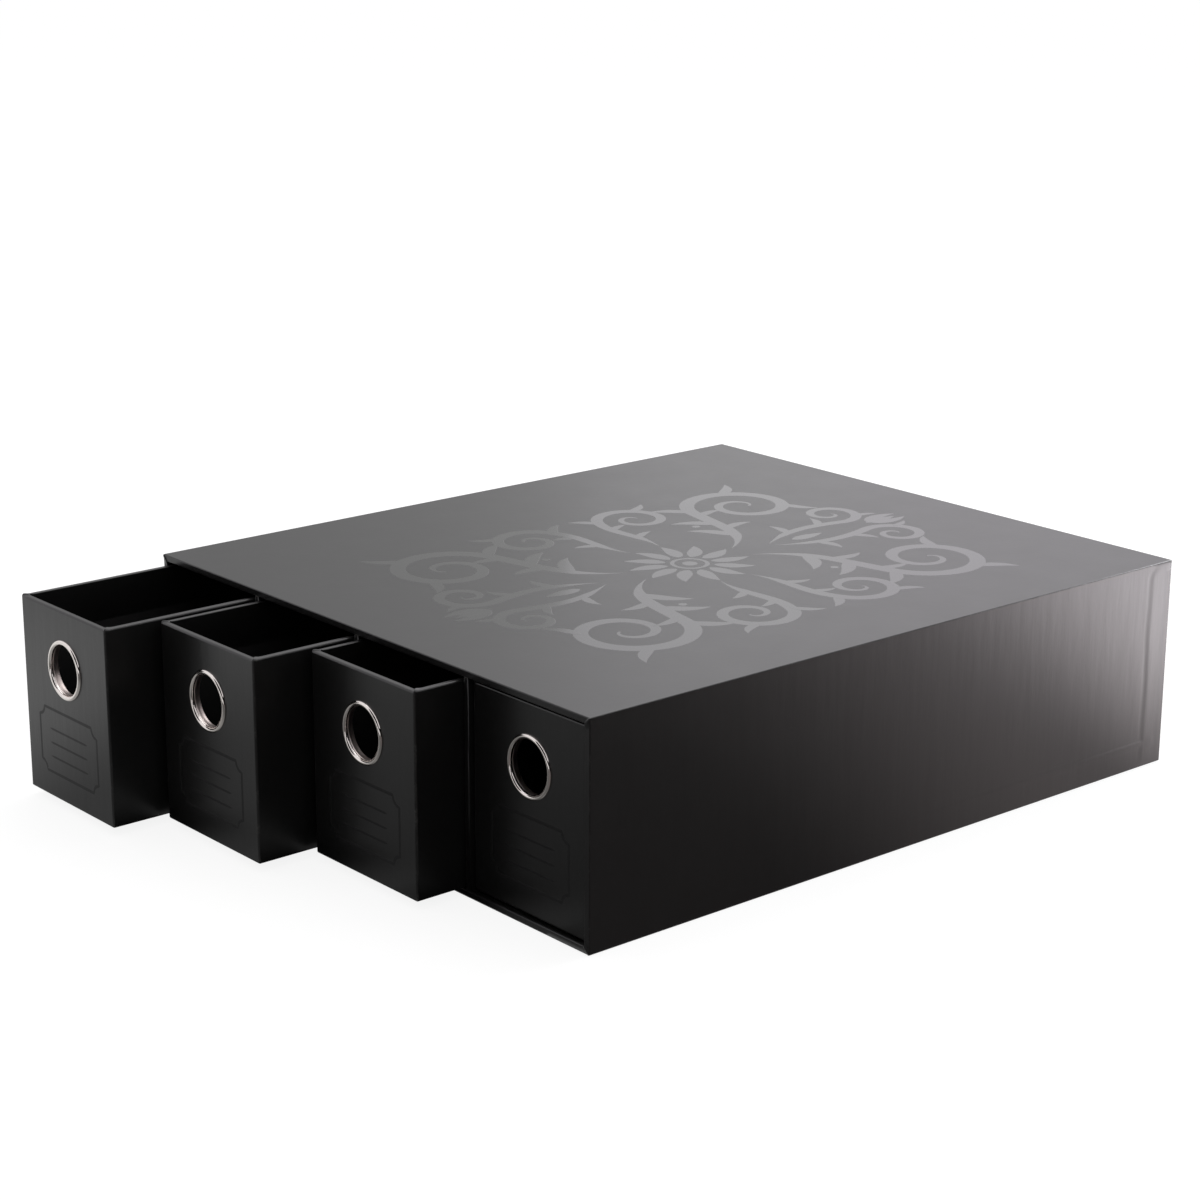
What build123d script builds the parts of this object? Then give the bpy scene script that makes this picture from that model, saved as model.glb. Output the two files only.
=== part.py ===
from build123d import *

import os

# A trading card box: a paper-covered greyboard case with four long drawers side by side.
# Millimetres. X runs to the right seen from the front, Y into the depth and Z up, with the origin
# at the middle of the case's underside. The drawers stand as far out as PULLED_OUT says.
# A space is given by its limits: a (low, high) pair along each of X, Y and Z.

# Case
CASE_WIDTH = 325.0
CASE_DEPTH = 376.0
CASE_HEIGHT = 105.0
CASE_BOARD = 3.0
BAYS = 4
PARTITION_BOARD = 2.5

# Papers and tape
PAPER = 0.2
STAY_TAPE = 0.12
EDGE_ROUND = 0.5
FRONT_TURN_IN = 18.0
BASE_TURN_UNDER = 18.0
BACK_TURN_OVER = 15.0
COVER_SHEET_INSET = 2.0
UPRIGHT_STAY_WIDTH = 14.3
LYING_STAY_WIDTH = 12.0
STAY_END_GAP = 5.0
STAY_SPACING = 0.5
GLUE_TAB_WIDTH = 12.0
GLUE_TAB_SETBACK = 4.0

# Drawers, left to right
DRAWER_WIDTH = 76.0
DRAWER_LENGTH = 369.5
DRAWER_HEIGHT = 96.0
DRAWER_BOARD = 2.5
DRAWER_RUNNING_GAP = 0.3
DRAWER_RECESS = 2.4
DRAWER_TURN_IN = 20.0
CORNER_BLUNT = 0.5
PULLED_OUT = (83.4, 56.4, 28.4, 0.0)

# Finger ring
RING_DROP = 28.6
RING_LIP_RADIUS = 14.6
RING_LIP_HEIGHT = 1.1
RING_LIP_BEVEL = 0.65
RING_BORE_RADIUS = 12.3
RING_BARREL_RADIUS = 12.8
RING_HOLE_RADIUS = 12.85
WASHER_RADIUS = 15.2
WASHER_DOME = 1.2

# Room for a cutting tool to run past a face
OVERRUN = 5.0
DRILL_LENGTH = 20.0

# Spaces worked out from the dimensions above
PARTITION = PARTITION_BOARD + 2 * PAPER
DRAWER_WALL = DRAWER_BOARD + 2 * PAPER
COVER_LAYERS = 2 * PAPER + STAY_TAPE
BOARDS = (
    (-CASE_WIDTH / 2 + PAPER + STAY_TAPE, CASE_WIDTH / 2 - PAPER - STAY_TAPE),
    (-CASE_DEPTH / 2 + PAPER, CASE_DEPTH / 2 - COVER_LAYERS),
    (COVER_LAYERS, CASE_HEIGHT - PAPER),
)


def grown(limits, by):
    """Limits moved outwards by the same amount on all six sides."""
    return tuple((low - by, high + by) for low, high in limits)


def block(limits):
    """A plain block that fills the limits."""
    size = [high - low for low, high in limits]
    middle = [(high + low) / 2 for low, high in limits]
    return Pos(*middle) * Box(*size)


def soft_block(limits, along):
    """A block whose four edges along one axis are rounded, as folded paper rounds them."""
    shape = block(limits)
    return fillet(shape.edges().filter_by(along), EDGE_ROUND)


def walled_space():
    """Limits of the room between the case's five boards, open at the front."""
    (left, right), (_, back), (low, high) = BOARDS
    return (
        (left + CASE_BOARD, right - CASE_BOARD),
        (-CASE_DEPTH / 2, back - CASE_BOARD),
        (low + CASE_BOARD, high - CASE_BOARD),
    )


def lined_space():
    """Limits of the room left inside the case's lining."""
    (left, right), (front, back), (low, high) = walled_space()
    return (left + PAPER, right - PAPER), (front, back - PAPER), (low + PAPER, high - PAPER)


def bay_width():
    """Clear width of one bay."""
    left, right = lined_space()[0]
    return (right - left - (BAYS - 1) * PARTITION) / BAYS


def bay_middle(bay):
    """Middle of a bay along X, counted from 0 at the left."""
    return lined_space()[0][0] + bay_width() / 2 + bay * (bay_width() + PARTITION)


def case_boards():
    """The five boards: top and bottom span the case, sides stand between them, back stands inside."""
    (left, right), depth, (low, high) = BOARDS
    (inner_left, inner_right), (_, inner_back), upright = walled_space()
    return {
        "case_bottom_board": block(((left, right), depth, (low, upright[0]))),
        "case_top_board": block(((left, right), depth, (upright[1], high))),
        "case_left_board": block(((left, inner_left), depth, upright)),
        "case_right_board": block(((inner_right, right), depth, upright)),
        "case_back_board": block(((inner_left, inner_right), (inner_back, depth[1]), upright)),
    }


def stay_spaces():
    """Limits round each taped board joint: two upright at the back, and three lying at the base."""
    (left, right), (front, back), (low, high) = BOARDS
    upright = (low + STAY_END_GAP, high - STAY_END_GAP)
    rear = (back - UPRIGHT_STAY_WIDTH, back + STAY_TAPE)
    along = (front + STAY_END_GAP, rear[0] - STAY_SPACING)
    base = (low - STAY_TAPE, low + LYING_STAY_WIDTH)
    left_side = (left - STAY_TAPE, left + UPRIGHT_STAY_WIDTH)
    right_side = (right - UPRIGHT_STAY_WIDTH, right + STAY_TAPE)
    across = (left_side[1] + STAY_SPACING, right_side[0] - STAY_SPACING)
    return [
        (left_side, rear, upright),
        (right_side, rear, upright),
        ((left - STAY_TAPE, left + LYING_STAY_WIDTH), along, base),
        ((right - LYING_STAY_WIDTH, right + STAY_TAPE), along, base),
        (across, rear, base),
    ]


def case_corner_stays():
    """Gummed strips, each folded over the outside of one board joint."""
    core = block(BOARDS)
    taped = block(grown(BOARDS, STAY_TAPE))
    return Compound([(block(space) & taped) - core for space in stay_spaces()])


def case_wrap(boards, stays):
    """The covering: top, sides and front edges, turned in, turned under and turned onto the back."""
    raised = soft_block(grown(BOARDS, PAPER + STAY_TAPE), Axis.Y)
    outside = soft_block(grown(BOARDS, PAPER), Axis.Y)
    for space in stay_spaces():
        outside += block(grown(space, PAPER)) & raised
    (left, right), (front, back), (low, high) = BOARDS
    underside = (
        (left + BASE_TURN_UNDER, right - BASE_TURN_UNDER),
        (front + BASE_TURN_UNDER, back + OVERRUN),
        (low - OVERRUN, low),
    )
    rear_face = (
        (left + BACK_TURN_OVER, right - BACK_TURN_OVER),
        (back, back + OVERRUN),
        (low - OVERRUN, high - BACK_TURN_OVER),
    )
    wide, (mouth, deep), tall = walled_space()
    lined_wide, _, lined_tall = lined_space()
    turn_in_end = mouth + FRONT_TURN_IN
    entry = (lined_wide, (mouth - OVERRUN, turn_in_end), lined_tall)
    room = (wide, (turn_in_end, deep), tall)
    for space in (underside, rear_face, entry, room):
        outside -= block(space)
    return outside - list(boards.values()) - stays


def case_lining():
    """Lining of the bays' outer walls, from the end of the covering's turn-in to the back."""
    wide, (mouth, deep), tall = walled_space()
    lined_wide, (_, lined_deep), lined_tall = lined_space()
    start = mouth + FRONT_TURN_IN
    sheath = block((wide, (start, deep), tall))
    return sheath - block((lined_wide, (start - OVERRUN, lined_deep), lined_tall))


def base_paper(layers):
    """Sheet pasted over the turned-under edges, flat below and pressed up between them."""
    half_width = CASE_WIDTH / 2 - COVER_SHEET_INSET
    half_depth = CASE_DEPTH / 2 - COVER_SHEET_INSET
    sheet = block(((-half_width, half_width), (-half_depth, half_depth), (0, COVER_LAYERS)))
    return sheet - layers


def back_paper(layers):
    """Sheet pasted over the edges turned onto the back, flat outside."""
    half_width = CASE_WIDTH / 2 - COVER_SHEET_INSET
    tall = (COVER_SHEET_INSET, CASE_HEIGHT - COVER_SHEET_INSET)
    rear = (BOARDS[1][1], CASE_DEPTH / 2)
    return block(((-half_width, half_width), rear, tall)) - layers


def partition_parts(number):
    """One partition: its board, and the paper folded round its front edge with glue tabs."""
    middle = bay_middle(number - 1) + (bay_width() + PARTITION) / 2
    _, (front, back), (floor, ceiling) = lined_space()
    half_board = PARTITION_BOARD / 2
    half_wall = PARTITION / 2
    board = block(
        ((middle - half_board, middle + half_board), (front + PAPER, back), (floor, ceiling))
    )
    cover = block(((middle - half_wall, middle + half_wall), (front, back), (floor, ceiling)))
    front_edges = cover.edges().filter_by(Axis.Z).group_by(Axis.Y)[0]
    cover = fillet(front_edges, EDGE_ROUND)
    tab_reach = half_wall + GLUE_TAB_WIDTH
    tab_run = (front + GLUE_TAB_SETBACK, back)
    for level in ((floor, floor + PAPER), (ceiling - PAPER, ceiling)):
        cover += block(((middle - tab_reach, middle + tab_reach), tab_run, level))
    return {
        f"partition_{number}_board": board,
        f"partition_{number}_paper": cover - board,
    }


def finger_ring():
    """Eyelet about the Y axis: a raised front lip, a barrel through the board, and a rear end
    rolled down onto its domed washer. Y is the depth behind the drawer's front."""
    half_section = make_face(
        Polyline(
            (RING_LIP_RADIUS, 0),
            (RING_LIP_RADIUS - RING_LIP_BEVEL, -RING_LIP_HEIGHT),
            (RING_BORE_RADIUS, -RING_LIP_HEIGHT),
            (RING_BORE_RADIUS, DRAWER_WALL + WASHER_DOME),
            (WASHER_RADIUS, DRAWER_WALL),
            (RING_BARREL_RADIUS, DRAWER_WALL),
            (RING_BARREL_RADIUS, 0),
            close=True,
        )
    )
    return revolve(half_section, Axis.Y)


def drawer_limits(number):
    """Outer limits of a drawer where it stands."""
    middle = bay_middle(number - 1)
    front = -CASE_DEPTH / 2 + DRAWER_RECESS - PULLED_OUT[number - 1]
    floor = lined_space()[2][0] + PAPER + DRAWER_RUNNING_GAP
    return (
        (middle - DRAWER_WIDTH / 2, middle + DRAWER_WIDTH / 2),
        (front, front + DRAWER_LENGTH),
        (floor, floor + DRAWER_HEIGHT),
    )


def corner_cutters(limits, depth):
    """Tools that flatten the tips of the four lower corners, to a depth along their diagonals."""
    (left, right), (front, back), (low, _) = limits
    size = 4 * depth
    tool = Pos(Z=-depth) * Box(size, size, size, align=(Align.CENTER, Align.CENTER, Align.MIN))
    return [
        Plane(origin=(x, y, low), z_dir=(x_out, y_out, -1)) * tool
        for x, x_out in ((left, -1), (right, 1))
        for y, y_out in ((front, -1), (back, 1))
    ]


def drawer_boards(limits):
    """Front and back span the drawer, the sides stand between them and the bottom lies inside."""
    (left, right), (front, back), (low, high) = grown(limits, -PAPER)
    inner_x = (left + DRAWER_BOARD, right - DRAWER_BOARD)
    inner_y = (front + DRAWER_BOARD, back - DRAWER_BOARD)
    blunt = corner_cutters(limits, CORNER_BLUNT + PAPER)
    return {
        "front_board": block(((left, right), (front, inner_y[0]), (low, high))) - blunt,
        "back_board": block(((left, right), (inner_y[1], back), (low, high))) - blunt,
        "left_board": block(((left, inner_x[0]), inner_y, (low, high))),
        "right_board": block(((inner_x[1], right), inner_y, (low, high))),
        "bottom_board": block((inner_x, inner_y, (low, low + DRAWER_BOARD))),
    }


def drawer_papers(limits, boards):
    """Outer covering, over the rim and down inside, and the lining that meets it there."""
    board_room = [
        (low + PAPER + DRAWER_BOARD, high - PAPER - DRAWER_BOARD) for low, high in limits[:2]
    ]
    lined_room = [(low + PAPER, high - PAPER) for low, high in board_room]
    bottom, rim = limits[2]
    floor = bottom + PAPER + DRAWER_BOARD
    turn_in_end = rim - DRAWER_TURN_IN
    below = block((*board_room, (floor, turn_in_end)))
    above = block((*lined_room, (turn_in_end, rim + OVERRUN)))
    blunt = corner_cutters(limits, CORNER_BLUNT)
    wrap = soft_block(limits, Axis.Z) - below - above - list(boards.values()) - blunt
    liner = below - block((*lined_room, (floor + PAPER, rim + OVERRUN)))
    return wrap, liner


def drawer_parts(number):
    """All pieces of one drawer, with the finger ring seated in its hole."""
    limits = drawer_limits(number)
    boards = drawer_boards(limits)
    wrap, liner = drawer_papers(limits, boards)
    middle = bay_middle(number - 1)
    ring_place = Pos(middle, limits[1][0], limits[2][1] - RING_DROP)
    drill = ring_place * Rot(X=90) * Cylinder(RING_HOLE_RADIUS, DRILL_LENGTH)
    parts = dict(boards)
    parts["front_board"] = boards["front_board"] - drill
    parts["paper"] = wrap - drill
    parts["lining"] = liner - drill
    parts["finger_ring"] = ring_place * finger_ring()
    return {f"drawer_{number}_{name}": shape for name, shape in parts.items()}


def case_parts():
    """All pieces of the case, each laid over what it covers."""
    boards = case_boards()
    stays = case_corner_stays()
    wrap = case_wrap(boards, stays)
    layers = [wrap, *stays.solids()]
    parts = dict(boards)
    parts["case_corner_stays"] = stays
    parts["case_wrap"] = wrap
    parts["case_lining"] = case_lining()
    parts["case_base_paper"] = base_paper(layers)
    parts["case_back_paper"] = back_paper(layers)
    for number in range(1, BAYS):
        parts.update(partition_parts(number))
    return parts


def main():
    """Builds every piece and writes one STEP file for each."""
    os.makedirs("parts", exist_ok=True)
    parts = case_parts()
    for number in range(1, BAYS + 1):
        parts.update(drawer_parts(number))
    for name, shape in parts.items():
        export_step(shape, f"parts/{name}.step")


main()
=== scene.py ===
import math

import bmesh
import bpy
from mathutils import Matrix, Vector

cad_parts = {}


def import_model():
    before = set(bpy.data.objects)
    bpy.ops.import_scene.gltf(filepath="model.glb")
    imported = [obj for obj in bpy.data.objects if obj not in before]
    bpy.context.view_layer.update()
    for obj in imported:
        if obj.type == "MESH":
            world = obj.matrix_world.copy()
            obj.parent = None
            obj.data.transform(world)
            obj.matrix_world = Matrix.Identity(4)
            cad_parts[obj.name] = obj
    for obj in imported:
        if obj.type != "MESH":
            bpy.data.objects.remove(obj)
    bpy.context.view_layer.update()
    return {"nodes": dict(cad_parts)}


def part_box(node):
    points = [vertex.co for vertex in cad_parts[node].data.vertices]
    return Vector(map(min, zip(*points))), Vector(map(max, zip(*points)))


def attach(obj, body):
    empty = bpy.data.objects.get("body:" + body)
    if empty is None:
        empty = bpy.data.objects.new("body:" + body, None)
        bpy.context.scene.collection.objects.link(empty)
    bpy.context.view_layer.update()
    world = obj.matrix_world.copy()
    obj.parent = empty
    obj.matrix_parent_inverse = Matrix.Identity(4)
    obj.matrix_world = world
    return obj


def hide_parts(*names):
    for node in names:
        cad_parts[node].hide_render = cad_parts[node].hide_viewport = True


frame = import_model()

# Axes and unit
MM = 0.001
X = Vector((1, 0, 0))
Y = Vector((0, 1, 0))
Z = Vector((0, 0, 1))

# Case and drawer construction
DRAWERS = range(1, 5)
PARTITIONS = range(1, 4)
PAPER = 0.2 * MM
PASTED_SHEET = 0.32 * MM
EDGE_ROUND = 0.5 * MM
EDGE_STEPS = 4
BOARD_EDGE_STEPS = 3
DRAWER_WALL = 2.9 * MM
DRAWER_TURN_IN = 20 * MM
DRILL_DEPTH = 4 * DRAWER_WALL
CASE_TURN_IN = 18 * MM
BASE_TURN_UNDER = 18 * MM
BACK_TURN_OVER = 15 * MM
GLUE_TAB_SETBACK = 4 * MM
SOFT_STEP = 1.2 * MM
PRESSED_IN = 0.14 * MM
DRAWER_ROUND = 0.95 * MM
RIM_INNER_ROUND = 0.35 * MM
DRAWER_BOARDS = ("front", "back", "left", "right", "bottom")

# Gummed tape over the case's board joints
STAY_TAPE = 0.12 * MM
UPRIGHT_STAY_WIDTH = 14.3 * MM
LYING_STAY_WIDTH = 12 * MM
STAY_SPACING = 0.5 * MM
STAY_END_GAP = 5 * MM

# The covering over a tape's edge: (distance inwards, height) in millimetres
UPRIGHT_PROFILE = (
    (-4.6, 0), (-3.8, -0.02), (-3.0, -0.05), (-2.2, -0.035), (-1.2, 0.03), (-0.2, 0.09),
    (0.5, 0.118), (1.0, 0.118), (2.0, 0.1), (3.6, 0.07), (5.6, 0.04), (7.6, 0.015), (9.6, 0),
)
LYING_PROFILE = (
    (-3.5, 0), (-2.9, -0.03), (-2.4, -0.055), (-1.9, 0), (-1.4, 0.08), (-0.9, 0.118),
    (-0.4, 0.118), (0.6, 0.08), (1.6, 0.035), (2.6, 0.01), (3.8, 0),
)

# The upright ridge fades near its ends, leans over at the top and wanders in (turns, share) waves
RIDGE_UPPER_GAP = 3.5 * MM
RIDGE_LOWER_GAP = 6 * MM
RIDGE_FADE = 5 * MM
RIDGE_HOOK = 4 * MM
RIDGE_HOOK_LENGTH = 6 * MM
RIDGE_WANDER = 0.4 * MM
RIDGE_WAVES = ((0.11, 1), (0.29, 0.6))
LYING_FADE = 4 * MM

# The thick spot where the two tapes lap
OVERLAP_BUMP = 0.116 * MM
OVERLAP_REACH = 5 * MM
OVERLAP_SHIFT = 4.5 * MM

# Rows of vertices that the ridges need: shares of the side's length, and heights in millimetres
LENGTH_CUTS = (0, 0.2, 0.4, 0.6, 0.8)
HEIGHT_CUTS = (3, 5, *range(18, 89, 7))
UPPER_END_CUTS = (-4, -2.8, -1.6, -0.4, 0.8, 2, 3.2, 4.4)

# Folded corners of a rim: one paper laps over the other along the mitre
FOLD_PROFILE = ((-2.6, 0), (-1.3, 0.12), (-0.3, 0.46), (0, 0.46), (0.25, 0.3), (0.5, -0.04), (0.9, 0))

# Varnish printed over the paper, each stroke a step lower so that no two lie in one plane
VARNISH = 0.03 * MM
VARNISH_SHOULDER = 0.15 * MM
VARNISH_STEP = 0.0008 * MM
VARNISH_LEVELS = 32
LID_DROP = 0.07 * MM

# Scrollwork on the lid: scale, place, steps along its curves, and how its leaves spring
SCROLL_SCALE = 1.06 * MM
SCROLL_MIDDLE = Vector((16, 0, 0)) * MM
STEM_STEPS = 40
SPIRAL_STEPS = 60
LEAF_STEPS = 18
DOT_STEPS = 12
CIRCLE_STEPS = 48
LEAF_ANGLE = 38
LEAF_SHRINK = 0.45

# Label: its height on the drawer's front, then its outline and rules in millimetres
LABEL_HEIGHT = 33 * MM
LABEL_HALF_WIDTH = 26
LABEL_HALF_HEIGHT = 16
LABEL_SCOOP = 4.5
LABEL_LINE = 0.75
SCOOP_STEPS = 8
RULE = ((-17, 0.1), (-15, 0.55), (15, 0.55), (17, 0.1))
RULE_LEVELS = (6, -1, -8)

# Finger ring, radii from its axis and depths behind the drawer's front
BEAD_MIDDLE = 13.45 * MM
BEAD_HALF_WIDTH = 1.15 * MM
BEAD_HEIGHT = 1.1 * MM
BARREL_OUTSIDE = 12.8 * MM
BARREL_INSIDE = ((12.3, 0.15), (12.45, 0.3), (12.45, 0.9), (12.37, 1.0), (12.37, 1.3), (12.45, 1.4))
RING_HOLE = 12.85 * MM
ROLL_RADIUS = 0.85 * MM
WASHER_INNER = 12.9 * MM
WASHER_OUTER = 15.2 * MM
WASHER_THICKNESS = 0.3 * MM
RING_STEPS = 96
BEAD_STEPS = 18
ROLL_STEPS = 12
WASHER_EDGE_STEPS = 6
RING_CREASE = 50

# Pattern sizes in the materials
PAPER_FIBRE = 0.35 * MM
PAPER_MOTTLE = 2.6 * MM
GLUE_WAVES = 46 * MM
PAPER_CLOUD = 22 * MM
STREAK_WIDTH = 6 * MM
STREAK_STRETCH = 0.14
WEAR_RUNS = 9 * MM
WEAR_SPECKS = 0.8 * MM
DUST_SPACING = 3.2 * MM
DUST_PATCHES = 30 * MM
BOARD_FIBRE = 0.6 * MM
BOARD_CLOUD = 12 * MM
TAPE_FIBRE = 0.5 * MM
NICKEL_SMEARS = 4 * MM
NICKEL_SCUFFS = 0.25 * MM
NICKEL_LINES = 0.3 * MM

# Mesh limits: a cut's and a weld's tolerance in metres, and how square to an axis a flat face is
CUT_TOLERANCE = 1e-7
WELD_DISTANCE = 1e-8
FLAT_FACING = 0.99999

# Studio tones, and where a reflection card's tint changes along its direction
FLOOR_TONE = 0.8
SEEN_FLOOR_TONE = 0.24
FLOOR_GLOW = 0.87
FLOOR_HALF_SIZE = 12
SKY_STRENGTH = 0.55
MIRRORED_SKY = (0.985, 0.96, 0.99, 1)
TINT_LIMITS = (0.0, 0.27)

# Reflection cards, each over the one before; a nook's card also reaches under its drawer
CARD_LIFT = 0.5 * MM
FAR_CARD_LIFT = 0.7 * MM
NOOK_LIFT = 0.9 * MM
NOOK_UNDER = 12 * MM
NOOK_WIDTH = 56 * MM
NOOK_RISE = (6 * MM, 50 * MM)
NOOK_LIGHT = 0.23

# Camera, at the photograph's viewing angle
CAMERA_PLACE = Vector((955.3, -862.3, 461.7)) * MM
CAMERA_AZIMUTH = 49.41
CAMERA_ELEVATION = 16.42
CAMERA_ROLL = 0.27
CAMERA_LENS = 81.35
CAMERA_CLIP = (0.05, 50)


# Node helpers for materials

def node(tree, kind, **settings):
    """A new shader node with its plain settings."""
    made = tree.nodes.new("ShaderNode" + kind)
    for name, value in settings.items():
        setattr(made, name, value)
    return made


def plug(tree, socket, value):
    """Links an output to a socket, or sets the socket's own value."""
    if isinstance(value, bpy.types.NodeSocket):
        tree.links.new(value, socket)
    else:
        socket.default_value = value


def feed(tree, made, **inputs):
    """Sets or links inputs, given by their socket's name with spaces as underscores."""
    for name, value in inputs.items():
        plug(tree, made.inputs[name.replace("_", " ")], value)
    return made


def sums(tree, operation, *values, clamp=False):
    """The output of one Math node."""
    made = node(tree, "Math", operation=operation, use_clamp=clamp)
    for socket, value in zip(made.inputs, values):
        plug(tree, socket, value)
    return made.outputs[0]


def noise(tree, place, size, detail=2.0, roughness=0.5):
    """Fractal noise with features of about the given size in metres."""
    made = node(tree, "TexNoise")
    feed(tree, made, Vector=place, Scale=1 / size, Detail=detail, Roughness=roughness)
    return made.outputs["Fac"]


def ramp(tree, value, low, high):
    """Value mapped from (low, high) to (0, 1), held at its ends."""
    made = node(tree, "MapRange", clamp=True)
    feed(tree, made, Value=value, From_Min=low, From_Max=high)
    return made.outputs["Result"]


def tint(tree, share, plain, other):
    """Colour mixed from two by a share, through the Mix node's colour sockets."""
    made = node(tree, "Mix", data_type="RGBA")
    colours = made.inputs[6:8]
    for socket, value in zip((made.inputs["Factor"], *colours), (share, plain, other)):
        plug(tree, socket, value)
    return made.outputs[2]


def stretched(tree, place, scale):
    """A place scaled along each axis, to draw a pattern out."""
    made = node(tree, "Mapping")
    feed(tree, made, Vector=place, Scale=scale)
    return made.outputs["Vector"]


def upward_part(tree):
    """How far the surface faces up, from 1 to -1."""
    parts = node(tree, "SeparateXYZ")
    tree.links.new(node(tree, "NewGeometry").outputs["Normal"], parts.inputs[0])
    return parts.outputs["Z"]


def grey(level, warmth=0.0):
    """An RGBA grey, a little warmer or cooler."""
    return (level * (1 + warmth), level, level * (1 - warmth), 1.0)


def new_group(name, inputs, outputs):
    """An empty shader node group with named float sockets."""
    tree = bpy.data.node_groups.new(name, "ShaderNodeTree")
    for label, value in inputs.items():
        socket = tree.interface.new_socket(label, in_out="INPUT", socket_type="NodeSocketFloat")
        socket.default_value = value
    for label in outputs:
        tree.interface.new_socket(label, in_out="OUTPUT", socket_type="NodeSocketFloat")
    return tree, tree.nodes.new("NodeGroupInput"), tree.nodes.new("NodeGroupOutput")


def placed(tree, group, **inputs):
    """A group placed in a material with its own values."""
    made = node(tree, "Group", node_tree=group)
    return feed(tree, made, **inputs)


# Effects shared by the materials

def paper_grain_group():
    """Height of a paper pasted on board: fibre, board texture, waves of the glue, upright streaks."""
    depths = {"Fibre": 0.0025, "Mottle": 0.006, "Waves": 0.03, "Streaks": 0.08}
    tree, inside, outside = new_group("paper_grain", depths, ("Height", "Cloud"))
    place = node(tree, "TexCoord").outputs["Object"]
    fibre = noise(tree, place, PAPER_FIBRE, 3.0, 0.65)
    mottle = noise(tree, place, PAPER_MOTTLE, 3.0, 0.55)
    waves = noise(tree, place, GLUE_WAVES, 1.0, 0.4)
    drawn = stretched(tree, place, (1.0, 1.0, STREAK_STRETCH))
    streaks = noise(tree, drawn, STREAK_WIDTH, 4.0, 0.5)
    upright = sums(tree, "SUBTRACT", 1.0, sums(tree, "ABSOLUTE", upward_part(tree)), clamp=True)
    streaks = sums(tree, "MULTIPLY", streaks, upright)
    height = sums(tree, "MULTIPLY", fibre, inside.outputs["Fibre"])
    for part, depth in ((mottle, "Mottle"), (waves, "Waves"), (streaks, "Streaks")):
        height = sums(tree, "ADD", height, sums(tree, "MULTIPLY", part, inside.outputs[depth]))
    tree.links.new(sums(tree, "MULTIPLY", height, MM), outside.inputs["Height"])
    tree.links.new(noise(tree, place, PAPER_CLOUD, 4.0, 0.6), outside.inputs["Cloud"])
    return tree


def fold_wear_group():
    """Where the covering is rubbed thin: only on folds, in short uneven runs."""
    tree, inside, outside = new_group("fold_wear", {"Amount": 0.5}, ("Mask",))
    place = node(tree, "TexCoord").outputs["Object"]
    fold = node(tree, "Attribute", attribute_name="fold").outputs["Fac"]
    runs = ramp(tree, noise(tree, place, WEAR_RUNS, 5.0, 0.7), 0.5, 0.72)
    specks = ramp(tree, noise(tree, place, WEAR_SPECKS, 2.0, 0.6), 0.42, 0.66)
    worn = sums(tree, "MULTIPLY", runs, specks)
    worn = sums(tree, "MULTIPLY", worn, fold)
    worn = sums(tree, "MULTIPLY", worn, inside.outputs["Amount"], clamp=True)
    tree.links.new(worn, outside.inputs["Mask"])
    return tree


def dust_group():
    """Fine specks that settle on faces that look up."""
    tree, inside, outside = new_group("dust", {"Amount": 0.3}, ("Mask",))
    place = node(tree, "TexCoord").outputs["Object"]
    cells = node(tree, "TexVoronoi")
    feed(tree, cells, Vector=place, Scale=1 / DUST_SPACING)
    specks = sums(tree, "SUBTRACT", 1.0, ramp(tree, cells.outputs["Distance"], 0.03, 0.07))
    patches = ramp(tree, noise(tree, place, DUST_PATCHES, 3.0), 0.45, 0.7)
    upward = ramp(tree, upward_part(tree), 0.5, 0.9)
    mask = sums(tree, "MULTIPLY", sums(tree, "MULTIPLY", specks, patches), upward)
    mask = sums(tree, "MULTIPLY", mask, inside.outputs["Amount"], clamp=True)
    tree.links.new(mask, outside.inputs["Mask"])
    return tree


PAPER_GRAIN = paper_grain_group()
FOLD_WEAR = fold_wear_group()
DUST = dust_group()


# Materials

def blank_material(name):
    """A node material with only its output, and its node tree."""
    material = bpy.data.materials.new(name)
    material.use_nodes = True
    tree = material.node_tree
    tree.nodes.clear()
    return material, tree, node(tree, "OutputMaterial")


def new_material(name):
    """A node material with its Principled shader ready."""
    material, tree, output = blank_material(name)
    shader = node(tree, "BsdfPrincipled")
    tree.links.new(shader.outputs["BSDF"], output.inputs["Surface"])
    return material, tree, shader


def bumped(tree, shader, height):
    """Links a height in metres to the shader's normal."""
    bump = node(tree, "Bump")
    feed(tree, bump, Height=height, Distance=1.0)
    tree.links.new(bump.outputs["Normal"], shader.inputs["Normal"])


def paper_material(name, tone, roughness, fibre, mottle, waves, wear, dust):
    """Paper covering or lining: near black, with grain, rubbed folds and a little dust."""
    material, tree, shader = new_material(name)
    grain = placed(tree, PAPER_GRAIN, Fibre=fibre, Mottle=mottle, Waves=waves)
    worn = placed(tree, FOLD_WEAR, Amount=wear).outputs["Mask"]
    specks = placed(tree, DUST, Amount=dust).outputs["Mask"]
    cloud = grain.outputs["Cloud"]
    colour = tint(tree, cloud, grey(tone * 0.8), grey(tone * 1.2, 0.02))
    colour = tint(tree, worn, colour, grey(0.16, 0.04))
    colour = tint(tree, specks, colour, grey(0.3))
    rough = sums(tree, "MULTIPLY_ADD", cloud, 0.05, roughness - 0.025)
    rough = sums(tree, "ADD", rough, sums(tree, "MULTIPLY", worn, 0.3), clamp=True)
    feed(tree, shader, Base_Color=colour, Roughness=rough)
    bumped(tree, shader, grain.outputs["Height"])
    return material


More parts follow.
